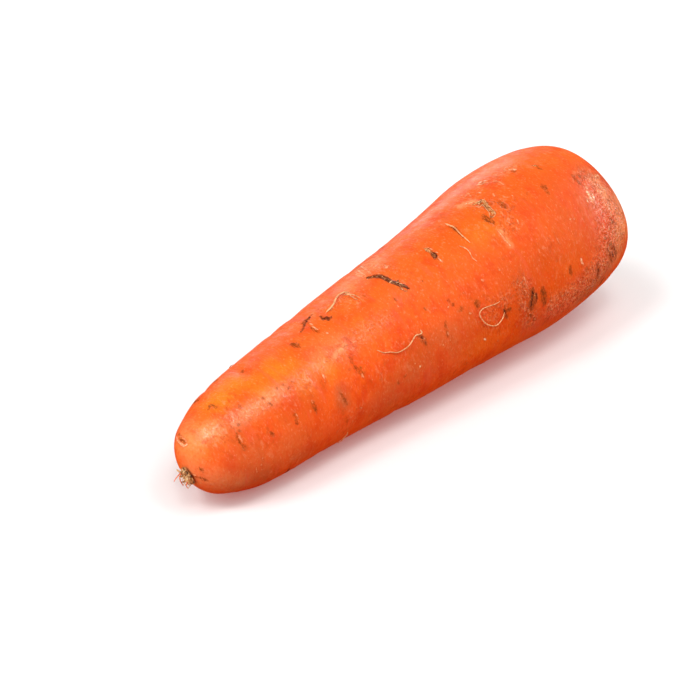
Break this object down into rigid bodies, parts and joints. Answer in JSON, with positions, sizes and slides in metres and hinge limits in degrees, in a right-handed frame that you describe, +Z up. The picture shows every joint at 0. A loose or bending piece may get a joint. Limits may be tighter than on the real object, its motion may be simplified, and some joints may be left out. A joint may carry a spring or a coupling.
{
  "type": "carrot",
  "caption": "Thick conical carrot lying on its side, with a blunt tail, broken rootlets, and cut leaf stalks in a hollow crown.",
  "frame": {"origin": "middle of the carrot's footprint, on the surface that it lies on", "axes": "+X from the tail to the crown along the root, +Z up, the carrot lying on its side"},
  "size_m": [0.178, 0.0558, 0.0561],
  "materials": {
    "carrot_skin": "washed carrot skin, moist satin, with fine cross marks",
    "cut_leaf_stalk": "cut and half dried leaf stalk tissue, matt",
    "dry_leaf_fibre": "dry ragged leaf fibre, matt",
    "rootlet": "dry broken rootlets, matt"
  },
  "bodies": {
    "root": {"taproot": "carrot_skin", "leaf_stalk_stubs": "cut_leaf_stalk", "dry_leaf_bases": "dry_leaf_fibre", "tail_rootlets": "rootlet"}
  },
  "joints": []
}
